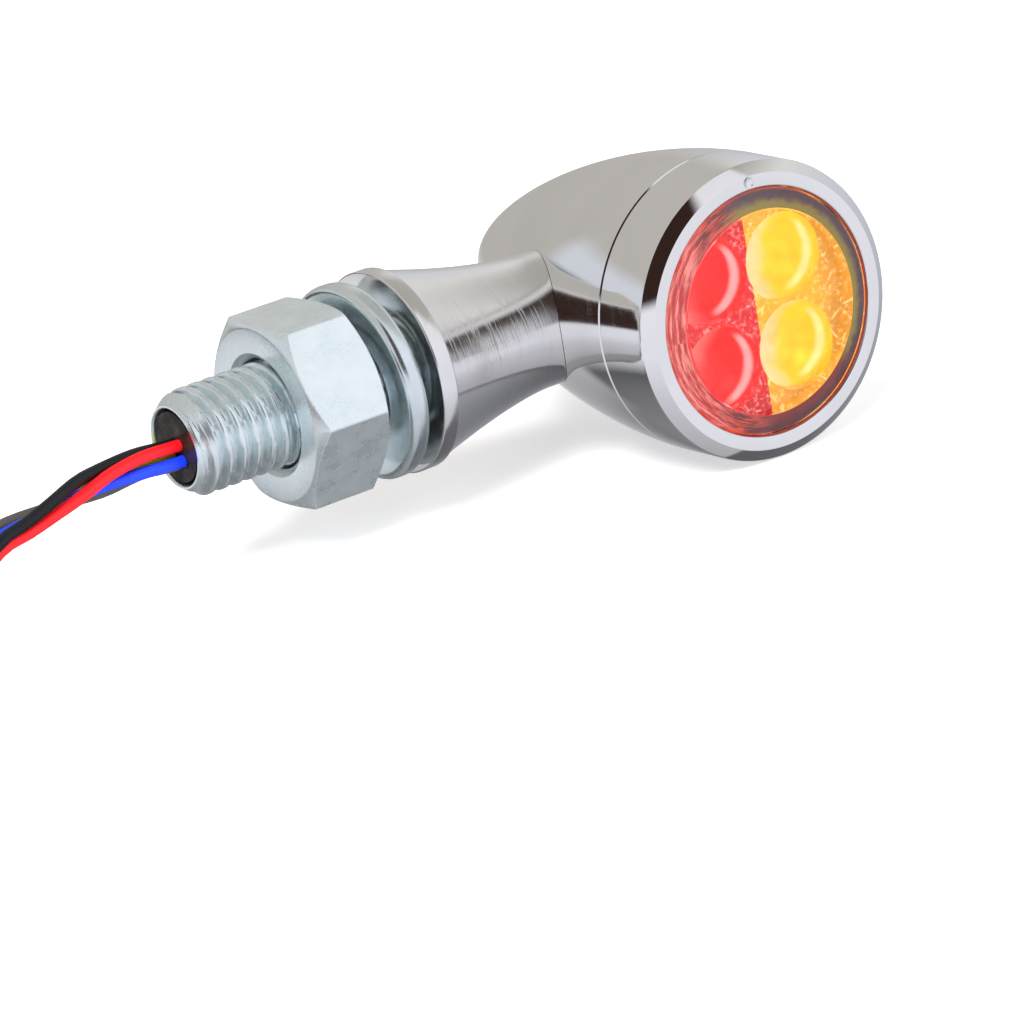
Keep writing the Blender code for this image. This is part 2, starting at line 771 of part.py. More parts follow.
make_housing(lamp)
make_bezel(lamp)
make_lens(lamp)
make_gasket(lamp)
make_reflector(lamp)
make_divider(lamp)
make_board(lamp)
make_leds(lamp)
make_stalk(lamp)
make_stud(lamp)
make_plug(lamp)
make_washer(washer_slide)
make_nut(nut_turn)
make_wires()
make_coil()
make_tie()
make_tips()
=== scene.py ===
"""Looks of the turn signal indicator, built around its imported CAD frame.

Metres, +Z up. The origin is the centre of the flange's seating face, the stud
points along -X and the lamp's axis is parallel to Y with its lens facing -Y.
"""

import math

import bpy
from mathutils import Matrix, Vector


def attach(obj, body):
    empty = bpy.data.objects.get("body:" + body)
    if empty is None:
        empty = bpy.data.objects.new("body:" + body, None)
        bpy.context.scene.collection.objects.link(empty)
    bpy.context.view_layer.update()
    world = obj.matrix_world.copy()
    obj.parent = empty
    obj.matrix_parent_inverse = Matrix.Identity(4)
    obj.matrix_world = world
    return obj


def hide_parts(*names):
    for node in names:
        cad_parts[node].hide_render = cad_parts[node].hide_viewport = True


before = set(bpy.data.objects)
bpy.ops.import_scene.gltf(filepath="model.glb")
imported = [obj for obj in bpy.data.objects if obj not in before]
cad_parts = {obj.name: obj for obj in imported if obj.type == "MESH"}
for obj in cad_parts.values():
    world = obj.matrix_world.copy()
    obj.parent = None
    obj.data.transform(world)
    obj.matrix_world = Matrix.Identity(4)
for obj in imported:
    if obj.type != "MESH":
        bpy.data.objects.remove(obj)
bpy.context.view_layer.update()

MM = 0.001

ROUND_STEPS = 192                   # points round a turned piece

# Sizes in millimetres; most are the CAD model's own
LAMP_X = 29.3
LAMP_RADIUS = 14.1
SEAM = 13.6
SEAM_EDGE = 13.98                   # where the rounded edges at the seam begin
TAIL = 24.6
BULLET_POWERS = (1.73, 0.70)
SPIGOT_OUTER = 12.55
SPIGOT_INNER = 11.3
SPIGOT_REACH = 2.0
BEZEL_FRONT = 20.7
BEZEL_LIP = 1.0
BEZEL_BORE = 12.85
BEZEL_OPENING = 11.62
DIMPLE_HEIGHT = 12.35
DIMPLE_RADIUS = 0.55
LENS_PROUD = 0.45
FLANGE_RADIUS = 9.7
FLANGE_RIM = 1.7
FLARE_RADIUS = 9.45
FLARE_END = 16.0
FLARE_POWER = 1.45
NECK_RADIUS = 6.45
THREAD_RADIUS = 5.0
THREAD_ROOT = 4.1
THREAD_PITCH = 1.5
RIDGE_SHIFT = 7 / 360 - 1.0 / 1.5 + 1.0   # the ridge stands 7 degrees round at 1 mm
RIDGE_ROOT = 0.18                   # share of half a pitch that is flat at the root
RIDGE_FLANK = 0.58                  # and share that slopes
STUD_REACH = 23.0
STUD_BORE = 3.65
STUD_CHAMFER = 1.5
STUD_CHAMFER_SLOPE = 0.72
NUT_NEAR = 5.2
NUT_HEIGHT = 8.0
NUT_ACROSS_FLATS = 17.0
NUT_FACE_RADIUS = 8.25
NUT_BORE = 5.3
NUT_MOUTH = 5.92
NUT_CHAMFER = math.radians(30)
NUT_FILLET = 0.5
NUT_TURNED = -1.5
WASHER_OUTER = 9.5
WASHER_INNER = 5.4
WASHER_THICKNESS = 2.2
WASHER_CORNER = 0.75
WASHER_NEAR = 1.45
WASHER_RISE = 2.1
WASHER_TURN = 345 / 360
WASHER_SPLIT = math.radians(110)
BOWL_SPREAD = 4.25
BOWL_MIDDLE = (-0.25, -0.45)        # the bowls seem moved by the thick lens
BOWL_MOUTH = 4.2
BOWL_DEPTH = 3.9
BOWL_SWEEP = 1.15                   # radians of the ellipse from the mouth to the floor
COLOUR_LINE = 0.2                   # where red meets amber, from the lamp's axis
REFLECTOR_FLAT = 9.95
REFLECTOR_FRONT = 17.9
REFLECTOR_BASE = 13.35
FLOOR_Z = -14.15

# Camera, fitted to the photograph's outlines
CAMERA_AZIMUTH = math.radians(-32.16)
CAMERA_ELEVATION = math.radians(17.61)
CAMERA_ROLL = math.radians(-9.92)
CAMERA_DISTANCE = 0.5
CAMERA_ASIDE = (-0.01183, 0.01278)  # the origin's place in the camera's plane
CAMERA_LENS = 190.9
SENSOR = 36.0

# Wires, in millimetres
WIRE_RADIUS = 0.575
STRAND_RING = 1.25
TWIST_PITCH = 40.0
TWIST_START = 26.3
WIRE_STEP = 1.0
COIL_CENTRE = Vector((-70.0, 19.5, -11.15))
COIL_START_RADIUS = 19.5
COIL_TURNS = 2.1
COIL_PITCH = 3.8                    # how much closer in each turn lies
COIL_STEPS = round(360 * COIL_TURNS)
LEAVES_COIL = 595                   # degrees round the coil, less the stripped end's angle
TIP_REACH = 9.2
TIP_FIRST = -7.5
TIP_SPACING = 1.45
TIP_Z = -12.575
WIRES = (                           # name, angle about the bundle where the even twist begins
    ("red", 263),
    ("black", -25),
    ("yellow", 191),
    ("grey", 119),
    ("blue", 47),
)
# The bundle's centreline from the stud's end down to the coil
ROUTE = (
    (-22.9, 0.0, 0.0), (-26.0, 0.0, 0.0), (-28.5, 0.0, -0.10), (-31.0, 0.0, -0.35),
    (-33.5, 0.0, -0.85), (-36.0, 0.0, -1.45), (-38.5, 0.0, -2.05), (-41.0, 0.0, -2.70),
    (-43.5, 0.0, -3.55), (-46.0, 0.0, -4.70), (-48.5, 0.0, -6.15), (-51.0, 0.0, -7.70),
    (-53.5, 0.0, -9.10), (-56.0, 0.0, -10.20), (-58.5, 0.0, -10.90), (-61.0, 0.0, -11.25),
    (-64.0, 0.0, -11.35), (-67.0, 0.0, -11.30),
)
# How the wires lie over each other near the stud, fitted to the photograph: for each
# distance along the route, every wire's offset from the centreline (towards -Y, up)
LAY_AT = (0.3, 3.9, 7.7, 10.7, 13.9, 17.1, 19.5, 22.9)
LAY = {
    "red": (
        (0.75, 0.32), (0.95, 0.50), (1.25, 0.35), (1.50, 0.05),
        (1.35, -0.12), (1.15, -0.25), (0.85, -0.15), (0.50, -0.85),
    ),
    "black": (
        (-0.45, 0.20), (-0.25, 0.60), (0.10, 0.80), (0.85, 1.25),
        (1.55, 1.20), (1.60, 0.90), (1.50, 0.90), (1.40, 0.05),
    ),
    "yellow": (
        (-0.80, -0.78), (-0.90, -0.50), (-0.85, -0.15), (-0.80, 0.05),
        (-0.85, -0.25), (-0.80, -0.60), (-0.80, -0.50), (-1.00, -0.40),
    ),
    "grey": (
        (0.00, -1.60), (-0.10, -1.30), (-0.75, -1.60), (-1.70, -1.25),
        (-2.00, -0.45), (-1.95, 0.35), (-1.75, 0.80), (-1.15, 1.10),
    ),
    "blue": (
        (1.05, -1.12), (1.00, -0.95), (0.55, -0.70), (0.40, -0.25),
        (0.15, -0.05), (0.00, 0.30), (-0.15, 0.50), (0.15, 0.85),
    ),
}

# Turns local +Z to the lamp's front or to the stud's free end
LAMP_PLACE = Matrix.Translation((LAMP_X * MM, 0, 0)) @ Matrix.Rotation(math.pi / 2, 4, "X")
STUD_PLACE = Matrix.Rotation(-math.pi / 2, 4, "Y")


# ---------------------------------------------------------------- camera
def make_camera():
    """A long lens at the photograph's viewing angle."""
    cos_elevation = math.cos(CAMERA_ELEVATION)
    back = Vector((
        math.sin(CAMERA_AZIMUTH) * cos_elevation,
        -math.cos(CAMERA_AZIMUTH) * cos_elevation,
        math.sin(CAMERA_ELEVATION),
    ))
    level = Vector((0, 0, 1)).cross(back).normalized()
    upright = back.cross(level)
    right = math.cos(CAMERA_ROLL) * level + math.sin(CAMERA_ROLL) * upright
    up = math.cos(CAMERA_ROLL) * upright - math.sin(CAMERA_ROLL) * level
    aside, above = CAMERA_ASIDE
    data = bpy.data.cameras.new("camera")
    data.lens = CAMERA_LENS
    data.sensor_width = SENSOR
    data.clip_start = 0.01
    camera = bpy.data.objects.new("camera", data)
    camera.matrix_world = Matrix.Translation(
        CAMERA_DISTANCE * back - aside * right - above * up
    ) @ Matrix((right, up, back)).transposed().to_4x4()
    bpy.context.scene.collection.objects.link(camera)
    bpy.context.scene.camera = camera


# ---------------------------------------------------------------- shader building
class Nodes:
    """Short ways to add nodes to a tree; values are numbers or sockets."""

    def __init__(self, tree):
        self.tree = tree

    def add(self, kind, values=None, **settings):
        node = self.tree.nodes.new(kind)
        for key, value in settings.items():
            setattr(node, key, value)
        for key, value in (values or {}).items():
            self.put(value, node.inputs[key])
        return node

    def put(self, value, socket):
        if isinstance(value, bpy.types.NodeSocket):
            self.tree.links.new(value, socket)
        else:
            socket.default_value = value

    def maths(self, operation, *values):
        node = self.add("ShaderNodeMath", operation=operation)
        for value, socket in zip(values, node.inputs):
            self.put(value, socket)
        return node.outputs[0]

    def plus(self, first, second):
        return self.maths("ADD", first, second)

    def minus(self, first, second):
        return self.maths("SUBTRACT", first, second)

    def times(self, first, second):
        return self.maths("MULTIPLY", first, second)

    def length(self, across, up):
        squares = self.plus(self.maths("POWER", across, 2.0), self.maths("POWER", up, 2.0))
        return self.maths("SQRT", squares)

    def split(self, vector):
        return self.add("ShaderNodeSeparateXYZ", {0: vector}).outputs

    def join(self, x, y, z):
        return self.add("ShaderNodeCombineXYZ", {0: x, 1: y, 2: z}).outputs[0]

    def smooth(self, value, low, high):
        """0 at low and 1 at high, eased at both; low may be the larger."""
        values = {0: value, 1: low, 2: high, 3: 0.0, 4: 1.0}
        node = self.add("ShaderNodeMapRange", values, interpolation_type="SMOOTHSTEP")
        return node.outputs[0]

    def mix(self, share, first, second):
        node = self.add("ShaderNodeMix", data_type="RGBA")
        self.put(share, node.inputs["Factor"])
        for key, value in ((6, first), (7, second)):
            if isinstance(value, tuple):
                value = (*value, 1.0)
            self.put(value, node.inputs[key])
        return node.outputs[2]


class Surface(Nodes):
    """A Principled material and its textures, placed by the object's own metres."""

    def __init__(self, name):
        self.material = bpy.data.materials.new(name)
        self.material.use_nodes = True
        super().__init__(self.material.node_tree)
        self.shader = self.tree.nodes["Principled BSDF"]
        self.position = self.add("ShaderNodeTexCoord").outputs["Object"]

    def set(self, **values):
        for key, value in values.items():
            self.put(value, self.shader.inputs[key.replace("_", " ")])

    def stretch(self, vector, scale):
        node = self.add("ShaderNodeVectorMath", {0: vector, 1: scale}, operation="MULTIPLY")
        return node.outputs[0]

    def noise(self, scale, detail=3.0, roughness=0.55, vector=None):
        values = {
            "Vector": vector or self.position, "Scale": scale,
            "Detail": detail, "Roughness": roughness,
        }
        return self.add("ShaderNodeTexNoise", values).outputs["Fac"]

    def span(self, value, low, high, to_low, to_high):
        values = {0: value, 1: low, 2: high, 3: to_low, 4: to_high}
        return self.add("ShaderNodeMapRange", values).outputs[0]

    def bump(self, height, strength, distance):
        values = {"Height": height, "Strength": strength, "Distance": distance}
        return self.add("ShaderNodeBump", values).outputs[0]


def about_axis(surface, across, up, along, radius):
    """Coordinates wrapped round an axis: (length round, length along, 0)."""
    around = surface.times(surface.maths("ARCTAN2", up, across), radius)
    return surface.join(around, along, 0.0)


def on_face(surface, middle):
    """Distances from a line up the lamp's face, in millimetres: aside, up and straight out."""
    x, y, z = surface.split(surface.position)
    aside = surface.times(surface.minus(x, middle * MM), 1 / MM)
    up = surface.times(z, 1 / MM)
    return aside, up, surface.length(aside, up)


# ---------------------------------------------------------------- metals
def make_chrome(name, axis):
    """Polished chrome with faint turning marks round its axis, 'lamp' or 'stalk'."""
    s = Surface(name)
    x, y, z = s.split(s.position)
    if axis == "lamp":
        across, along, radius = s.minus(x, LAMP_X * MM), y, LAMP_RADIUS * MM
        colour = (0.97, 0.965, 0.96)
    else:
        across, along, radius = y, x, NECK_RADIUS * MM
        colour = (0.95, 0.95, 0.95)
    wrapped = about_axis(s, across, z, along, radius)
    lines = s.noise(1.0, 2.0, 0.6, s.stretch(wrapped, (260, 9000, 1)))
    strokes = s.noise(1.0, 3.0, 0.7, s.stretch(wrapped, (150, 2600, 1)))
    patches = s.noise(170, 2.0)
    worn = s.times(s.smooth(strokes, 0.50, 0.72), s.smooth(patches, 0.36, 0.6))
    worn = s.times(worn, s.smooth(x, 0.017, 0.012))
    haze = s.noise(90, 4.0)
    relief = s.plus(lines, s.times(worn, 1.5))
    normal = s.bump(relief, 0.10 if axis == "lamp" else 0.22, 0.00002)
    polish = (0.03, 0.07) if axis == "lamp" else (0.09, 0.15)
    s.set(
        Base_Color=s.mix(s.smooth(haze, 0.35, 0.7), colour, tuple(c * 0.95 for c in colour)),
        Metallic=1.0,
        Roughness=s.plus(s.span(haze, 0.3, 0.7, *polish), s.times(worn, 0.16)),
        Normal=normal,
    )
    return s.material


def make_zinc(name, metallic, smoothest, roughest):
    """Bright zinc plate, bluish and softly mottled."""
    s = Surface(name)
    cloud = s.noise(420, 4.0, 0.6)
    grain = s.noise(5200, 3.0, 0.6)
    pits = s.smooth(s.noise(2600, 1.0), 0.76, 0.82)
    tone = s.mix(s.smooth(cloud, 0.3, 0.7), (0.76, 0.86, 0.89), (0.87, 0.95, 0.97))
    dulled = s.span(cloud, 0.3, 0.7, smoothest, roughest)
    s.set(
        Base_Color=s.mix(s.times(pits, 0.4), tone, (0.55, 0.60, 0.62)),
        Metallic=metallic,
        Roughness=s.plus(dulled, s.times(pits, 0.1)),
        Normal=s.bump(s.minus(grain, pits), 0.12, 0.00003),
    )
    return s.material


def make_tinned(name):
    """Tinned copper strands, twisted along the wire."""
    s = Surface(name)
    x, y, z = s.split(s.position)
    slant = s.join(s.plus(x, y), z, y)
    strands = s.add("ShaderNodeTexWave", {"Vector": slant, "Scale": 900.0, "Distortion": 0.6})
    s.set(
        Base_Color=s.mix(s.noise(2600, 3.0), (0.72, 0.70, 0.67), (0.86, 0.80, 0.72)),
        Metallic=1.0,
        Roughness=s.span(s.noise(3000, 2.0), 0.3, 0.7, 0.25, 0.4),
        Normal=s.bump(strands.outputs["Fac"], 0.5, 0.00006),
    )
    return s.material


# ---------------------------------------------------------------- plastics, resin and wires
def make_plastic(name, dark, light, roughness, grain):
    """A plain plastic or rubber that runs from one tone to another."""
    s = Surface(name)
    s.set(
        Base_Color=s.mix(s.noise(700, 4.0), dark, light),
        Roughness=s.span(s.noise(1400, 3.0), 0.3, 0.7, *roughness),
        Normal=s.bump(s.noise(grain, 3.0), 0.2, 0.00003),
    )
    return s.material


PLASTICS = (                        # finish, CAD node, dark, light, roughness, grain
    ("gasket_rubber", "lens_gasket", (0.012, 0.012, 0.012), (0.02, 0.02, 0.02), (0.6, 0.8), 3000),
    ("tie_nylon", "coil_tie", (0.010, 0.010, 0.010), (0.022, 0.022, 0.022), (0.35, 0.5), 1800),
    ("board_resist", "circuit_board", (0.012, 0.10, 0.04), (0.02, 0.16, 0.07), (0.35, 0.5), 2500),
)


def make_potting(name):
    """Dark resin, brownish where it is thin, with a lumpy poured face."""
    s = Surface(name)
    lumps = s.noise(620, 3.0)
    thin = s.smooth(s.noise(380, 3.0), 0.4, 0.66)
    s.set(
        Base_Color=s.mix(thin, (0.006, 0.005, 0.005), (0.030, 0.022, 0.018)),
        Roughness=s.span(lumps, 0.3, 0.7, 0.30, 0.55),
        Specular_IOR_Level=0.3,
        Normal=s.bump(lumps, 0.6, 0.0003),
    )
    return s.material


def make_insulation(name, colour):
    """Drawn wire insulation with a soft sheen and faint handling marks."""
    s = Surface(name)
    marks = s.noise(1500, 4.0, 0.6)
    dull = tuple(c * 0.86 + 0.002 for c in colour)
    s.set(
        Base_Color=s.mix(s.smooth(marks, 0.40, 0.66), colour, dull),
        Roughness=s.span(marks, 0.3, 0.7, 0.30, 0.46),
        Specular_IOR_Level=0.3,
        Normal=s.bump(s.noise(4200, 3.0), 0.12, 0.00003),
    )
    return s.material


INSULATION_COLOURS = {
    "red": (0.93, 0.008, 0.014),
    "black": (0.007, 0.008, 0.010),
    "yellow": (0.86, 0.76, 0.0),
    "grey": (0.075, 0.073, 0.065),
    "blue": (0.008, 0.045, 0.86),
}


# ---------------------------------------------------------------- lens and light
def make_lens_material():
    """Lightly smoked clear plastic with a soft moulded ripple."""
    s = Surface("smoked_lens_clear")
    scatter = {"Vector": s.position, "Scale": 620.0, "Randomness": 0.7}
    cells = s.add("ShaderNodeTexVoronoi", scatter)
    ripple = s.noise(260, 3.0)
    relief = s.plus(s.times(cells.outputs["Distance"], 0.8), ripple)
    s.set(
        Base_Color=s.mix(s.noise(350, 2.0), (0.80, 0.78, 0.79), (0.86, 0.84, 0.85)),
        Roughness=s.span(s.noise(800, 3.0), 0.3, 0.7, 0.015, 0.05),
        IOR=1.32,
        Transmission_Weight=1.0,
        Normal=s.bump(relief, 0.10, 0.00012),
    )
    return s.material


def make_light_material():
    """The lit reflector: red bowls on the stud's side, amber on the other, with painted highlights
    and painted shade in the glow.
    """
    s = Surface("lit_reflector")
    aside, up, out = on_face(s, LAMP_X + COLOUR_LINE)
    amber = s.smooth(aside, -0.06, 0.06)
    bowl_aside = s.minus(aside, s.times(s.maths("SIGN", aside), BOWL_SPREAD))
    bowl_aside = s.minus(bowl_aside, BOWL_MIDDLE[0])
    above = s.minus(up, BOWL_MIDDLE[1])
    bowl_up = s.minus(s.maths("ABSOLUTE", above), BOWL_SPREAD)
    bowl_up = s.times(s.maths("SIGN", above), bowl_up)
    reach = s.length(bowl_aside, bowl_up)
    bowl = s.smooth(reach, BOWL_MOUTH, 3.9)
    between = s.minus(1.0, bowl)

    # The flat between the bowls: painted glints (sparkle), painted worm-like highlights and painted
    # highlight streaks by the stud, with patches of painted shade (gloom)
    grains = s.noise(2600, 3.0, 0.7)
    sparkle = s.times(s.smooth(grains, 0.50, 0.66), between)
    gloom = s.times(s.smooth(grains, 0.48, 0.34), between)
    cells = {"Vector": s.position, "Scale": 620.0}
    edges = s.add("ShaderNodeTexVoronoi", cells, feature="DISTANCE_TO_EDGE")
    worm_highlights = s.times(s.smooth(edges.outputs["Distance"], 0.07, 0.02), between)
    worm_highlights = s.times(worm_highlights, s.smooth(s.noise(900, 2.0), 0.52, 0.60))
    tall = s.noise(1.0, 3.0, 0.6, s.stretch(s.position, (2200, 1, 260)))
    streaks = s.times(s.smooth(tall, 0.52, 0.64), s.smooth(aside, -6.4, -7.6))
    streaks = s.times(streaks, between)

    # In each bowl: a painted pale highlight on the half towards the stud and a painted bright
    # crescent highlight on the far side
    wander = s.times(s.minus(s.noise(480, 3.0), 0.5), 2.2)
    left = s.plus(s.plus(bowl_aside, s.times(bowl_up, -0.25)), wander)
    pale = s.times(bowl, s.smooth(left, 1.4, -1.0))
    pale = s.times(pale, s.plus(0.65, s.times(amber, 0.25)))
    lit_side = s.smooth(s.plus(bowl_aside, s.times(bowl_up, -0.3)), 1.6, 3.0)
    crescent_highlight = s.times(s.smooth(reach, 3.45, 3.7), s.smooth(reach, 3.95, 3.8))
    crescent_highlight = s.times(crescent_highlight, lit_side)

    # Glow tints: light and shine are painted highlight tints, and shade is a painted shade tint
    plain = s.mix(amber, (0.68, 0.003, 0.003), (0.82, 0.38, 0.004))
    inside = s.mix(amber, (0.96, 0.012, 0.010), (1.0, 0.62, 0.006))
    outer = s.mix(amber, (0.50, 0.003, 0.003), (0.82, 0.30, 0.03))
    light = s.mix(amber, (1.0, 0.30, 0.27), (0.95, 0.72, 0.40))
    shine = s.mix(amber, (1.0, 0.46, 0.44), (1.0, 0.86, 0.30))
    shade = s.mix(amber, (0.55, 0.010, 0.010), (0.80, 0.36, 0.01))
    colour = s.mix(s.times(s.smooth(out, 6.5, 9.6), between), plain, outer)
    for share, laid_over in (
        (bowl, inside),
        (s.times(gloom, 0.5), shade),
        (s.times(sparkle, 0.55), shine),
        (s.times(worm_highlights, 0.8), shine),
        (s.times(streaks, 0.7), shine),
        (pale, light),
        (crescent_highlight, shine),
    ):
        colour = s.mix(share, colour, laid_over)
    facets = s.add("ShaderNodeTexVoronoi", {"Vector": s.position, "Scale": 1100.0})
    s.set(
        Base_Color=s.mix(amber, (0.30, 0.02, 0.02), (0.40, 0.18, 0.02)),
        Metallic=1.0,
        Roughness=0.45,
        Emission_Color=colour,
        Emission_Strength=s.span(s.noise(800, 3.0), 0.3, 0.7, 1.0, 1.25),
        Normal=s.bump(facets.outputs["Distance"], 0.2, 0.0002),
    )
    return s.material


def make_edge_material():
    """The lens's sloping edge in painted glow and painted shade: red by the stud, olive fading to
    purple elsewhere.
    """
    s = Surface("lens_edge")
    aside, up, out = on_face(s, LAMP_X)
    turn = s.times(s.maths("ARCTAN2", up, aside), 10.0)
    ragged = s.noise(1.0, 3.0, 0.6, s.join(turn, out, 0.0))
    ragged = s.times(s.minus(ragged, 0.5), 1.2)
    depth = s.smooth(s.plus(out, ragged), 9.9, 10.9)
    streaks = s.noise(1.0, 3.0, 0.65, s.stretch(s.join(turn, out, 0.0), (0.35, 3.2, 1.0)))
    # Painted glow fading outwards to painted shade: olive to dark purple above and dark red below;
    # by the stud darker red, then red with painted pink highlight streaks
    upper = s.mix(depth, (0.24, 0.19, 0.025), (0.055, 0.030, 0.045))
    lower = s.mix(depth, (0.19, 0.016, 0.016), (0.075, 0.016, 0.022))
    stud_side = s.mix(s.smooth(streaks, 0.40, 0.66), (0.52, 0.008, 0.008), (0.95, 0.30, 0.26))
    dusk = s.mix(s.smooth(streaks, 0.42, 0.6), (0.10, 0.012, 0.014), (0.70, 0.06, 0.03))
    height = s.plus(up, s.times(aside, 0.7))
    colour = s.mix(s.smooth(height, -3.0, 1.0), lower, upper)
    colour = s.mix(s.smooth(aside, -1.0, -4.5), colour, dusk)
    colour = s.mix(s.smooth(aside, -5.5, -8.0), colour, stud_side)
    # A thin painted highlight along the outer rim
    colour = s.mix(s.times(s.smooth(out, 11.24, 11.34), 0.4), colour, (0.75, 0.10, 0.05))
    s.set(
        Base_Color=s.mix(streaks, (0.02, 0.01, 0.012), (0.05, 0.02, 0.02)),
        Roughness=0.4,
        Emission_Color=colour,
        Emission_Strength=1.1,
    )
    return s.material


def make_led_material(name, glow):
    """A lit diode."""
    s = Surface(name)
    s.set(
        Base_Color=s.mix(s.noise(1500, 2.0), glow, (1.0, 0.9, 0.8)),
        Roughness=0.3,
        Emission_Color=s.mix(s.noise(1800, 2.0), glow, (1.0, 0.85, 0.7)),
        Emission_Strength=1.6,
    )
    return s.material


# ---------------------------------------------------------------- meshes
def shown(name, vertices, faces, material, place, sharp, flip):
    """A smooth-shaded piece; place maps its own axes, in millimetres, to the frame."""
    mesh = bpy.data.meshes.new(name)
    points = [place @ (Vector(v) * MM) for v in vertices]
    if flip:
        faces = [tuple(reversed(face)) for face in faces]
    mesh.from_pydata(points, [], faces)
    mesh.validate()
    mesh.update()
    mesh.shade_smooth()
    mesh.set_sharp_from_angle(angle=math.radians(sharp))
    mesh.materials.append(material)
    obj = bpy.data.objects.new(name, mesh)
    bpy.context.scene.collection.objects.link(obj)
    return obj


def rings_to_faces(rings, close=False):
    """Quads between rings of equal length; close joins the last ring to the first."""
    count = len(rings[0])
    pairs = list(zip(rings, rings[1:]))
    if close:
        pairs.append((rings[-1], rings[0]))
    faces = []
    for low, high in pairs:
        for i in range(count):
            j = (i + 1) % count
            face = []
            for vertex in (low[i], low[j], high[j], high[i]):
                if vertex not in face:
                    face.append(vertex)
            if len(face) > 2:
                faces.append(tuple(face))
    return faces


def surface_of_rings(
    name, rows, material, place, close=False, sharp=30, flip=False, caps=False
):
    """A piece from rows of points; a row of one point is a pole."""
    vertices = []
    rings = []
    count = max(len(row) for row in rows)
    for row in rows:
        first = len(vertices)
        vertices.extend(row)
        rings.append([first] * count if len(row) == 1 else list(range(first, first + count)))
    faces = rings_to_faces(rings, close)
    if caps:
        faces += [tuple(reversed(rings[0])), tuple(rings[-1])]
    return shown(name, vertices, faces, material, place, sharp, flip)


def circle(radius, height, steps):
    """Points round the axis; on the axis itself there is only one."""
    if radius == 0.0:
        return [(0.0, 0.0, height)]
    points = []
    for i in range(steps):
        angle = math.tau * i / steps
        points.append((radius * math.cos(angle), radius * math.sin(angle), height))
    return points


def turned(name, profile, material, place, steps=ROUND_STEPS, close=False, sharp=30):
    """A turned piece from (radius, height) points that run down its outer side."""
    rows = [circle(radius, height, steps) for radius, height in profile]
    return surface_of_rings(name, rows, material, place, close=close, sharp=sharp, flip=True)


def arc(centre, radius, start, end, steps=6):
    """Points of an arc, (radius, height), between two angles in degrees."""
    points = []
    for i in range(steps + 1):
        angle = math.radians(start + (end - start) * i / steps)
        points.append((centre[0] + radius * math.cos(angle), centre[1] + radius * math.sin(angle)))
    return points


def on_lamp(piece, slot, *nodes):
    """Fixes a piece to the lamp's body, in place of the CAD nodes it stands for."""
    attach(piece, "lamp")
    if nodes:
        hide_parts(*nodes)


def lamp_radius(y):
    """Radius of the bullet at y, in millimetres."""
    u = min(max((y + SEAM) / (TAIL + SEAM), 0.0), 1.0)
    return LAMP_RADIUS * (1.0 - u ** BULLET_POWERS[0]) ** BULLET_POWERS[1]


def stalk_radius(x):
    """Radius of the flare and the neck at x, in millimetres."""
    t = min(max((x - FLANGE_RIM) / (FLARE_END - FLANGE_RIM), 0.0), 1.0)
    return NECK_RADIUS + (FLARE_RADIUS - NECK_RADIUS) * (1.0 - t) ** FLARE_POWER


def make_housing(chrome):
    """The bullet, with a spigot that reaches into the bezel."""
    stations = 72
    profile = [
        (SPIGOT_INNER, SEAM + SPIGOT_REACH), (SPIGOT_OUTER, SEAM + SPIGOT_REACH),
        (SPIGOT_OUTER, SEAM), (SEAM_EDGE, SEAM), (LAMP_RADIUS, SEAM - 0.1),
    ]
    for i in range(1, stations):
        y = -SEAM + (TAIL + SEAM) * math.sin(math.pi / 2 * i / stations)
        profile.append((lamp_radius(y), -y))
    profile.append((0.0, -TAIL))
    return turned("housing_shell", profile, chrome, LAMP_PLACE)


def make_lens(material):
    """A disc with a sloping edge that stands out of the bezel."""
    face = BEZEL_FRONT + LENS_PROUD
    profile = [
        (0.0, face), (4.0, face - 0.02), (8.0, face - 0.05),
        *arc((9.45, face - 0.25), 0.17, 90, 28, 5),
        *arc((11.40, BEZEL_FRONT - 0.42), 0.15, 70, 0, 4),
        (11.55, BEZEL_FRONT - 1.3), (11.45, BEZEL_FRONT - 1.5), (0.0, BEZEL_FRONT - 1.5),
    ]
    return turned("lens_clear", profile, material, LAMP_PLACE, sharp=25)


def make_lens_edge(material):
    """A band just under the lens's sloping edge that carries its painted glow and painted shade."""
    face = BEZEL_FRONT + LENS_PROUD
    profile = [
        (9.62, face - 0.28), (9.9, face - 0.36), (10.4, face - 0.50), (10.9, face - 0.65),
        (11.35, face - 0.80), (11.38, face - 1.6),
    ]
    return turned("lens_edge", profile, material, LAMP_PLACE, sharp=25)


def carve(obj, cutter):
    """Cuts the cutter out of the piece for good."""
    modifier = obj.modifiers.new("cut", "BOOLEAN")
    modifier.object = cutter
    modifier.solver = "EXACT"
    depsgraph = bpy.context.evaluated_depsgraph_get()
    cut = bpy.data.meshes.new_from_object(obj.evaluated_get(depsgraph))
    obj.modifiers.clear()
    obj.data = cut
    cut.set_sharp_from_angle(angle=math.radians(30))
    bpy.data.objects.remove(cutter)


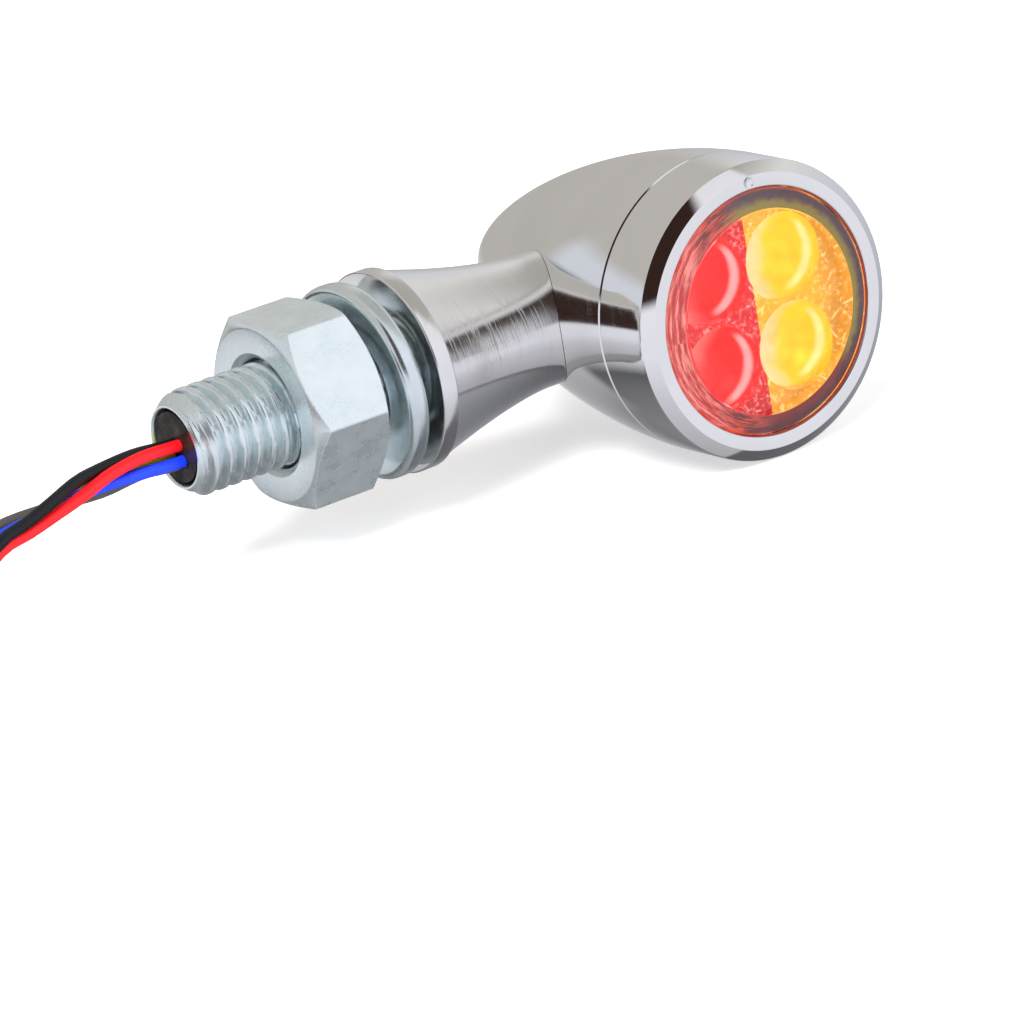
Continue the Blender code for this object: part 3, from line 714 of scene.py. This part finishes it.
def make_bezel(chrome):
    """The front ring: a wide chamfer, a flat lip round the lens, and the dimple."""
    rear = SEAM + 0.1
    opening = BEZEL_OPENING
    profile = [
        (BEZEL_BORE, rear), (SEAM_EDGE, rear), (LAMP_RADIUS, rear + 0.1), (14.06, BEZEL_FRONT - 1.1),
        *arc((13.86, BEZEL_FRONT - 0.92), 0.15, 0, 55, 4),
        *arc((12.86, BEZEL_FRONT - 0.15), 0.15, 55, 90, 4),
        *arc((opening + 0.16, BEZEL_FRONT - 0.16), 0.16, 90, 180, 5),
        (opening, BEZEL_FRONT - BEZEL_LIP), (BEZEL_BORE, BEZEL_FRONT - BEZEL_LIP),
    ]
    bezel = turned("bezel", profile[::-1], chrome, LAMP_PLACE, close=True, sharp=20)
    above = Matrix.Translation((0, 0, DIMPLE_HEIGHT * MM))
    dish = [
        (0.0, BEZEL_FRONT + 0.3), (DIMPLE_RADIUS, BEZEL_FRONT + 0.3),
        (DIMPLE_RADIUS, BEZEL_FRONT - 0.04), (0.6 * DIMPLE_RADIUS, BEZEL_FRONT - 0.13),
        (0.0, BEZEL_FRONT - 0.16),
    ]
    carve(bezel, turned("dish", dish, chrome, above @ LAMP_PLACE, steps=32))
    return bezel


def make_reflector(material):
    """A disc with four bowls and a raised rim that lines the lens's edge."""
    front = REFLECTOR_FRONT
    profile = [
        (0.0, front), (REFLECTOR_FLAT, front), (10.35, 18.05), (10.9, 18.5), (11.4, 19.12),
        (11.6, 19.15), (11.6, 19.0), (11.1, 18.4), (10.25, REFLECTOR_BASE),
        (0.0, REFLECTOR_BASE),
    ]
    reflector = turned("lit_bowls", profile, material, LAMP_PLACE, steps=160)
    bowl = [(0.0, front + 1.0), (BOWL_MOUTH, front + 1.0)]
    for i in range(13):
        angle = BOWL_SWEEP * i / 12
        down = BOWL_DEPTH * math.sin(angle) / math.sin(BOWL_SWEEP)
        bowl.append((BOWL_MOUTH * math.cos(angle), front - down))
    bowl.append((0.0, bowl[-1][1] - 0.1))
    for across in (-1, 1):
        for up in (-1, 1):
            x = across * BOWL_SPREAD + BOWL_MIDDLE[0]
            z = up * BOWL_SPREAD + BOWL_MIDDLE[1]
            place = Matrix.Translation((x * MM, 0, z * MM))
            carve(reflector, turned("bowl", bowl, material, place @ LAMP_PLACE, steps=64))
    return reflector


def make_stalk(chrome):
    """The flange, flare and neck; the neck's end follows the bullet."""
    edge = 0.15
    flange = [
        (THREAD_RADIUS + 0.3, 0.0),
        *arc((FLANGE_RADIUS - edge, edge), edge, 270, 360, 4),
        *arc((FLANGE_RADIUS - edge, FLANGE_RIM - edge), edge, 0, 90, 4),
    ]
    stations = 26
    rows = [circle(radius, -x, ROUND_STEPS) for radius, x in flange]
    for k in range(stations + 1):
        row = []
        for i in range(ROUND_STEPS):
            angle = math.tau * i / ROUND_STEPS
            y = NECK_RADIUS * math.sin(angle)
            z = NECK_RADIUS * math.cos(angle)
            end = LAMP_X - math.sqrt((lamp_radius(y) + 0.03) ** 2 - z ** 2)
            x = FLANGE_RIM + (end - FLANGE_RIM) * k / stations
            radius = stalk_radius(x)
            row.append((radius * math.cos(angle), radius * math.sin(angle), -x))
        rows.append(row)
    return surface_of_rings("stalk_shell", rows, chrome, STUD_PLACE, sharp=35, flip=True)


def make_stud(zinc):
    """The thread as one fine surface, with a chamfered end and a bored middle."""
    turn_steps = 96
    pitch_steps = 14
    step = THREAD_PITCH / pitch_steps
    count = int((STUD_REACH - 0.1) / step)
    rows = []
    for k in range(count + 1):
        height = k * step
        row = []
        for i in range(turn_steps):
            share = i / turn_steps
            phase = (height / THREAD_PITCH - share + RIDGE_SHIFT) % 1.0
            slope = abs(phase - 0.5) * 2
            ridge = min(max((slope - RIDGE_ROOT) / RIDGE_FLANK, 0.0), 1.0)
            ridge = ridge * ridge * (3 - 2 * ridge)
            radius = THREAD_ROOT + (THREAD_RADIUS - THREAD_ROOT) * ridge
            past = max(height - (STUD_REACH - STUD_CHAMFER), 0.0)
            chamfer = THREAD_RADIUS - STUD_CHAMFER_SLOPE * past
            radius = min(radius, max(chamfer, STUD_BORE + 0.3))
            angle = math.tau * share
            row.append((radius * math.cos(angle), radius * math.sin(angle), height))
        rows.append(row)
    for radius, height in (
        (STUD_BORE + 0.28, STUD_REACH), (STUD_BORE + 0.12, STUD_REACH),
        (STUD_BORE, STUD_REACH - 0.15), (STUD_BORE, STUD_REACH - 3.0),
    ):
        rows.append(circle(radius, height, turn_steps))
    return surface_of_rings("threaded_stud_fine", rows, zinc, STUD_PLACE, sharp=50)


def make_washer(zinc):
    """A coil of rounded section, cut square at its two ends."""
    steps = 180
    corner = WASHER_CORNER
    half = WASHER_THICKNESS / 2
    section = [
        *arc((WASHER_OUTER - corner, half - corner), corner, 0, 90),
        *arc((WASHER_INNER + corner, half - corner), corner, 90, 180),
        *arc((WASHER_INNER + corner, corner - half), corner, 180, 270),
        *arc((WASHER_OUTER - corner, corner - half), corner, 270, 360),
    ]
    rows = []
    for k in range(steps + 1):
        share = k / steps
        angle = WASHER_SPLIT + math.tau * WASHER_TURN * share
        rows.append([
            (r * math.cos(angle), r * math.sin(angle), WASHER_NEAR + h + WASHER_RISE * share)
            for r, h in section
        ])
    return surface_of_rings("spring_washer_round", rows, zinc, STUD_PLACE, sharp=35, caps=True)


def hex_radius(angle):
    """From the axis to the nut's side, its six corners slightly rounded."""
    flat = NUT_ACROSS_FLATS / 2
    from_flat = (angle + math.pi / 6) % (math.pi / 3) - math.pi / 6
    fillet_centre = (flat - NUT_FILLET) / math.cos(math.pi / 6)
    if abs(from_flat) <= math.atan2((flat - NUT_FILLET) * math.tan(math.pi / 6), flat):
        return flat / math.cos(from_flat)
    from_corner = math.pi / 6 - abs(from_flat)
    inside = NUT_FILLET ** 2 - (fillet_centre * math.sin(from_corner)) ** 2
    return fillet_centre * math.cos(from_corner) + math.sqrt(max(inside, 0.0))


def make_nut(zinc):
    """A hexagon in columns, chamfered by a cone at both ends and tapped through."""
    steps = 720
    chamfer = math.tan(NUT_CHAMFER)
    near, far = NUT_NEAR, NUT_NEAR + NUT_HEIGHT
    rows = [[] for _ in range(14)]
    for i in range(steps):
        angle = math.tau * i / steps + math.radians(NUT_TURNED)
        side = hex_radius(math.tau * i / steps)
        drop = (side - NUT_FACE_RADIUS) * chamfer
        column = (
            (NUT_BORE, near + 1.5), (NUT_BORE, near + 0.6),
            (NUT_MOUTH - 0.07, near + 0.05), (NUT_MOUTH, near),
            (NUT_FACE_RADIUS - 0.08, near), (NUT_FACE_RADIUS + 0.04, near + 0.03),
            (side - 0.05, near + drop - 0.02), (side, near + drop + 0.04),
            (side, far - drop - 0.04), (side - 0.05, far - drop + 0.02),
            (NUT_FACE_RADIUS + 0.04, far - 0.03), (NUT_FACE_RADIUS - 0.08, far),
            (NUT_MOUTH, far), (NUT_BORE, far - 0.6),
        )
        for row, (radius, height) in zip(rows, column):
            row.append((radius * math.cos(angle), radius * math.sin(angle), height))
    return surface_of_rings("hex_nut_fine", rows, zinc, STUD_PLACE, close=True, sharp=25)


# ---------------------------------------------------------------- wires
def on_curve(a, b, c, d, t):
    """Catmull-Rom between b and c."""
    return 0.5 * (
        2 * b + (c - a) * t + (2 * a - 5 * b + 4 * c - d) * t ** 2
        + (3 * b - a - 3 * c + d) * t ** 3
    )


def centreline():
    """The bundle's middle: the drawn route, then the flat coil, 0.25 mm between points."""
    route = [Vector(p) for p in ROUTE]
    coil = []
    for i in range(COIL_STEPS + 1):
        radius = COIL_START_RADIUS - COIL_PITCH * i / 360
        angle = math.radians(-90 - i)
        coil.append(COIL_CENTRE + radius * Vector((math.cos(angle), math.sin(angle), 0)))
    onwards = coil[8]
    ends = [route[0] * 2 - route[1], *route, coil[0], onwards]
    dense = []
    for a, b, c, d in zip(ends, ends[1:], ends[2:], ends[3:]):
        dense.extend(on_curve(a, b, c, d, i / 12) for i in range(12))
    return dense + coil


def frames_along(points):
    """(distance, point, side, lift) for each point of the bundle's middle."""
    frames = []
    travelled = 0.0
    for i, point in enumerate(points):
        before, after = points[max(i - 1, 0)], points[min(i + 1, len(points) - 1)]
        along = (after - before).normalized()
        side = Vector((0, 0, 1)).cross(along).normalized()
        if i:
            travelled += (point - points[i - 1]).length
        frames.append((travelled, point, side, along.cross(side)))
    return frames


def twist_offset(at, phase):
    """Where a wire lies in the evenly twisted bundle: (side, lift)."""
    angle = math.radians(phase) - math.tau * (at - TWIST_START) / TWIST_PITCH
    return Vector((STRAND_RING * math.cos(angle), STRAND_RING * math.sin(angle)))


def strand_offset(at, name, phase):
    """Where a wire lies in the bundle at a distance: (side, lift)."""
    if at >= TWIST_START:
        return twist_offset(at, phase)
    stations = [*LAY_AT, TWIST_START, TWIST_START + 3.0]
    offsets = [Vector(o) for o in LAY[name]]
    offsets += [twist_offset(TWIST_START, phase), twist_offset(TWIST_START + 3.0, phase)]
    if at <= stations[0]:
        return offsets[0]
    k = max(i for i, station in enumerate(stations) if station <= at)
    k = min(k, len(stations) - 2)
    t = (at - stations[k]) / (stations[k + 1] - stations[k])
    return on_curve(offsets[max(k - 1, 0)], offsets[k], offsets[k + 1],
                    offsets[min(k + 2, len(offsets) - 1)], t)


def tip_place(index):
    """Where a wire's stripped end starts, in a row inside the coil: (place, angle)."""
    across = TIP_FIRST + TIP_SPACING * index
    drop = -math.sqrt(TIP_REACH ** 2 - across ** 2)
    place = Vector((COIL_CENTRE.x + across, COIL_CENTRE.y + drop, TIP_Z))
    return place, math.degrees(math.atan2(drop, across))


def wire_points(index, name, phase, frames):
    """A wire from the stud's potting, round the coil and inwards to its stripped end."""
    tip, tip_angle = tip_place(index)
    coil_from = len(frames) - 1 - COIL_STEPS
    last = min(coil_from + round(LEAVES_COIL - tip_angle), len(frames) - 1)
    points = []
    due = 0.0
    for travelled, point, side, lift in frames[:last + 1]:
        if travelled >= due:
            aside, up = strand_offset(travelled, name, phase)
            points.append(point + side * aside + lift * up)
            due += WIRE_STEP
    start = points[-1]
    heading = (points[-1] - points[-3]).normalized()
    gap = (tip - start).length
    arrive = Vector((0, 1, 0))
    for i in range(1, 13):
        t = i / 12
        points.append(
            start * (2 * t ** 3 - 3 * t ** 2 + 1) + heading * gap * (t ** 3 - 2 * t ** 2 + t)
            + tip * (3 * t ** 2 - 2 * t ** 3) + arrive * gap * (t ** 3 - t ** 2)
        )
    return points


def make_wire(index, name, phase, frames, material):
    points = wire_points(index, name, phase, frames)
    curve = bpy.data.curves.new("insulated_" + name, "CURVE")
    curve.dimensions = "3D"
    curve.bevel_depth = WIRE_RADIUS * MM
    curve.bevel_resolution = 4
    curve.use_fill_caps = True
    spline = curve.splines.new("POLY")
    spline.points.add(len(points) - 1)
    for target, point in zip(points, spline.points):
        point.co = (*(target * MM), 1.0)
    spline.use_smooth = True
    curve.materials.append(material)
    wire = bpy.data.objects.new("insulated_" + name, curve)
    bpy.context.scene.collection.objects.link(wire)
    replaced = ["wire_" + name]
    if index == 0:
        replaced.append("wire_coil")
    on_lamp(wire, "wire_" + name, *replaced)
    return wire


# ---------------------------------------------------------------- studio
def make_floor():
    """A pale, slightly glowing floor that takes soft shadows."""
    s = Surface("floor")
    s.set(
        Base_Color=s.mix(s.noise(3, 2.0), (0.90, 0.90, 0.90), (0.92, 0.92, 0.92)),
        Roughness=0.8,
        Specular_IOR_Level=0.0,
        Emission_Color=(1.0, 1.0, 1.0, 1.0),
        Emission_Strength=0.42,
    )
    mesh = bpy.data.meshes.new("floor")
    reach, z = 4.0, FLOOR_Z * MM
    mesh.from_pydata(
        [(-reach, -reach, z), (reach, -reach, z), (reach, reach, z), (-reach, reach, z)],
        [], [(0, 1, 2, 3)],
    )
    mesh.materials.append(s.material)
    floor = bpy.data.objects.new("floor", mesh)
    bpy.context.scene.collection.objects.link(floor)
    floor.visible_glossy = False


def band(nodes, value, stops):
    """Colours along a value from 0 to 1, evenly blended."""
    ramp = nodes.add("ShaderNodeValToRGB")
    elements = ramp.color_ramp.elements
    while len(elements) > 1:
        elements.remove(elements[-1])
    elements[0].position = stops[0][0]
    elements[0].color = (*stops[0][1], 1.0)
    for position, colour in stops[1:]:
        element = elements.new(position)
        element.color = (*colour, 1.0)
    nodes.put(value, ramp.inputs[0])
    return ramp.outputs[0]


def linear(text):
    """A colour written as six hex digits, as linear light."""
    values = [int(text[i:i + 2], 16) / 255 for i in (0, 2, 4)]
    return tuple(v / 12.92 if v <= 0.04045 else ((v + 0.055) / 1.055) ** 2.4 for v in values)


def by_elevation(stops):
    """Stops given as (degrees above the horizon, colour), for a ramp from -90 to 90."""
    return [((degrees + 90) / 180, linear(text)) for degrees, text in stops]


# The greys of the room's walls, as (degrees above the horizon, colour)
ROOM_STUD_SIDE = (
    (-90, "9a9a9c"), (-60, "8e8e90"), (-35, "6e6e70"), (-27, "5a5b5e"), (-22, "b8babf"),
    (-15, "f4f4f8"), (-9, "d6d6dc"), (-7, "2c2623"), (0, "2a2421"), (2, "5a4634"),
    (4, "2a2421"), (7, "332d2a"), (9.5, "cfd3dc"), (17, "d0d4dc"), (24, "b9b5b0"), (60, "bbb7b2"),
    (90, "c0bcb7"),
)
ROOM_BACK = (
    (-90, "9a9a9c"), (-60, "8e8e90"), (-40, "7a7a7c"), (-26, "b0b0b4"), (-16, "dcdce0"),
    (-9, "b5b1ac"), (15, "b7b3ae"), (60, "bbb7b2"), (90, "c0bcb7"),
)
ROOM_FRONT = (
    (-90, "a0a0a4"), (-40, "c8c8d0"), (-20, "e2e2ec"), (20, "eaeaf2"), (60, "e2e2e6"),
    (90, "c0bcb7"),
)
ROOM_LAMP_SIDE = (
    (-90, "58585c"), (-50, "68686c"), (-30, "94969c"), (-15, "b8bcc6"), (10, "ccced6"),
    (30, "dcdad8"), (48, "aeaaa6"), (70, "a8a4a0"), (90, "c0bcb7"),
)


# Each wall, and the degrees round from the lens's side between which it takes over
ROOM_WALLS = (
    (ROOM_STUD_SIDE, -62.0, -74.0),
    (ROOM_LAMP_SIDE, 44.0, 50.0),
    (ROOM_BACK, 138.0, 150.0),
    (ROOM_BACK, -162.0, -170.0),
)
BLIND_COLOUR = "33231f"


def make_room():
    """The studio round the object: pale walls with a dark band, and a dark blind in front."""
    world = bpy.data.worlds.new("studio")
    bpy.context.scene.world = world
    world.use_nodes = True
    s = Nodes(world.node_tree)
    x, y, z = s.split(s.add("ShaderNodeTexCoord").outputs["Generated"])
    elevation = s.times(s.maths("ARCSINE", z), 180 / math.pi)
    azimuth = s.times(s.maths("ARCTAN2", x, s.times(y, -1.0)), 180 / math.pi)
    height = s.plus(s.maths("DIVIDE", elevation, 180.0), 0.5)
    room = band(s, height, by_elevation(ROOM_FRONT))
    for stops, start, end in ROOM_WALLS:
        wall = band(s, height, by_elevation(stops))
        room = s.mix(s.smooth(azimuth, start, end), room, wall)
    blind = s.times(s.smooth(azimuth, -62.0, -50.0), s.smooth(azimuth, 12.0, 0.0))
    blind = s.times(blind, s.smooth(elevation, 3.0, 10.0))
    blind = s.times(blind, s.smooth(elevation, 74.0, 64.0))
    room = s.mix(blind, room, linear(BLIND_COLOUR))
    seen = s.add("ShaderNodeLightPath").outputs["Is Camera Ray"]
    background = s.tree.nodes["Background"]
    s.put(s.mix(seen, room, (1.0, 1.0, 1.0)), background.inputs["Color"])
    background.inputs["Strength"].default_value = 1.0


def soft_light(name, place, size, power):
    """A square area light aimed at the lamp, kept out of the reflections."""
    data = bpy.data.lights.new(name, "AREA")
    data.shape = "SQUARE"
    data.size = size
    data.energy = power
    light = bpy.data.objects.new(name, data)
    light.rotation_euler = (-Vector(place)).to_track_quat("-Z", "Y").to_euler()
    light.location = place
    light.visible_glossy = False
    bpy.context.scene.collection.objects.link(light)


def repaint(material, *nodes):
    """Gives CAD nodes a finished material in place of their plain one."""
    for name in nodes:
        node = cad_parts[name]
        node.data.materials.clear()
        node.data.materials.append(material)


# ---------------------------------------------------------------- the object
bpy.context.scene.view_settings.view_transform = "Standard"
make_camera()

bundle = frames_along(centreline())
for order, (colour_name, start_angle) in enumerate(WIRES):
    insulation = make_insulation("wire_" + colour_name, INSULATION_COLOURS[colour_name])
    make_wire(order, colour_name, start_angle, bundle, insulation)
repaint(make_tinned("tinned_strands"), *("wire_tip_" + name for name, _ in WIRES))

lamp_chrome = make_chrome("chrome_lamp", "lamp")
on_lamp(make_housing(lamp_chrome), "chrome", "housing")
on_lamp(make_bezel(lamp_chrome), "chrome", "bezel_ring")
on_lamp(make_stalk(make_chrome("chrome_stalk", "stalk")), "chrome_stalk", "stalk")
on_lamp(make_stud(make_zinc("zinc_thread", 0.92, 0.20, 0.28)), "zinc_thread", "threaded_stud")
on_lamp(make_lens(make_lens_material()), "smoked_lens", "lens")
on_lamp(make_lens_edge(make_edge_material()), "smoked_lens")
on_lamp(make_reflector(make_light_material()), "reflector_mirror", "reflector", "light_divider")

washer = make_washer(make_zinc("zinc_washer", 0.97, 0.18, 0.26))
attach(washer, "washer")
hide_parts("spring_washer")
nut = make_nut(make_zinc("zinc_nut", 0.86, 0.24, 0.34))
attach(nut, "nut")
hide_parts("hex_nut")

repaint(make_potting("potting_resin"), "potting_plug")
for finish, node, dark, light, roughness, grain in PLASTICS:
    repaint(make_plastic(finish, dark, light, roughness, grain), node)
repaint(make_led_material("led_red_lit", (1.0, 0.05, 0.03)), "led_red_upper", "led_red_lower")
repaint(make_led_material("led_amber_lit", (1.0, 0.55, 0.03)), "led_amber_upper", "led_amber_lower")

make_floor()
make_room()
soft_light("key", (-0.55, -0.45, 0.85), 0.55, 14.0)
soft_light("fill", (0.2, -0.9, 0.35), 0.9, 6.0)
